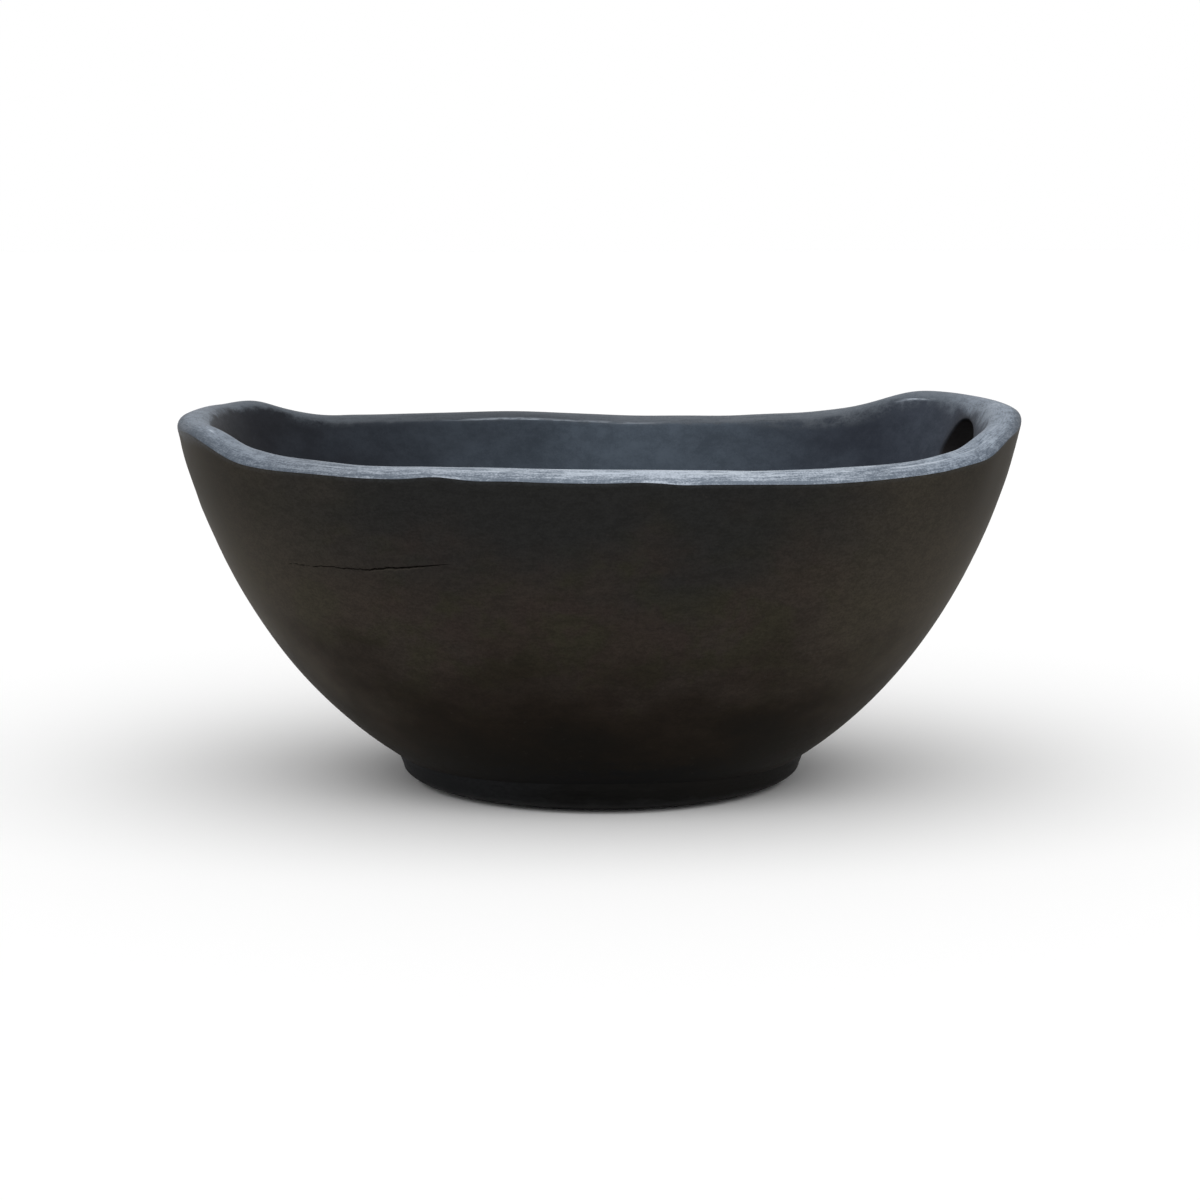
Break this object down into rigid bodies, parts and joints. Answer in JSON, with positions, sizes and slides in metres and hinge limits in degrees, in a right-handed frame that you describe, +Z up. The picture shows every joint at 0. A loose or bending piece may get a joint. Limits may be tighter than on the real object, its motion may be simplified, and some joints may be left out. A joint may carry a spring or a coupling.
{
  "type": "wooden bowl",
  "caption": "Large oval hand-carved wooden bowl with thick walls, a rim that sweeps up at both ends, a finger slot through each end and a low round foot.",
  "frame": {"origin": "on the table, under the middle of the rim", "axes": "+X along the bowl's length towards the higher end, +Y towards the back, +Z up"},
  "size_m": [0.4443, 0.306, 0.1982],
  "materials": {
    "stained_wood": "dark stain, satin, worn paler on the rim",
    "foot_wood": "dark stain, dull",
    "bare_wood": "bare, hidden inside the joint"
  },
  "bodies": {
    "root": {"bowl_body": "stained_wood", "foot": "foot_wood", "foot_dowel_1": "bare_wood", "foot_dowel_2": "bare_wood", "foot_dowel_3": "bare_wood", "foot_dowel_4": "bare_wood"}
  },
  "joints": []
}
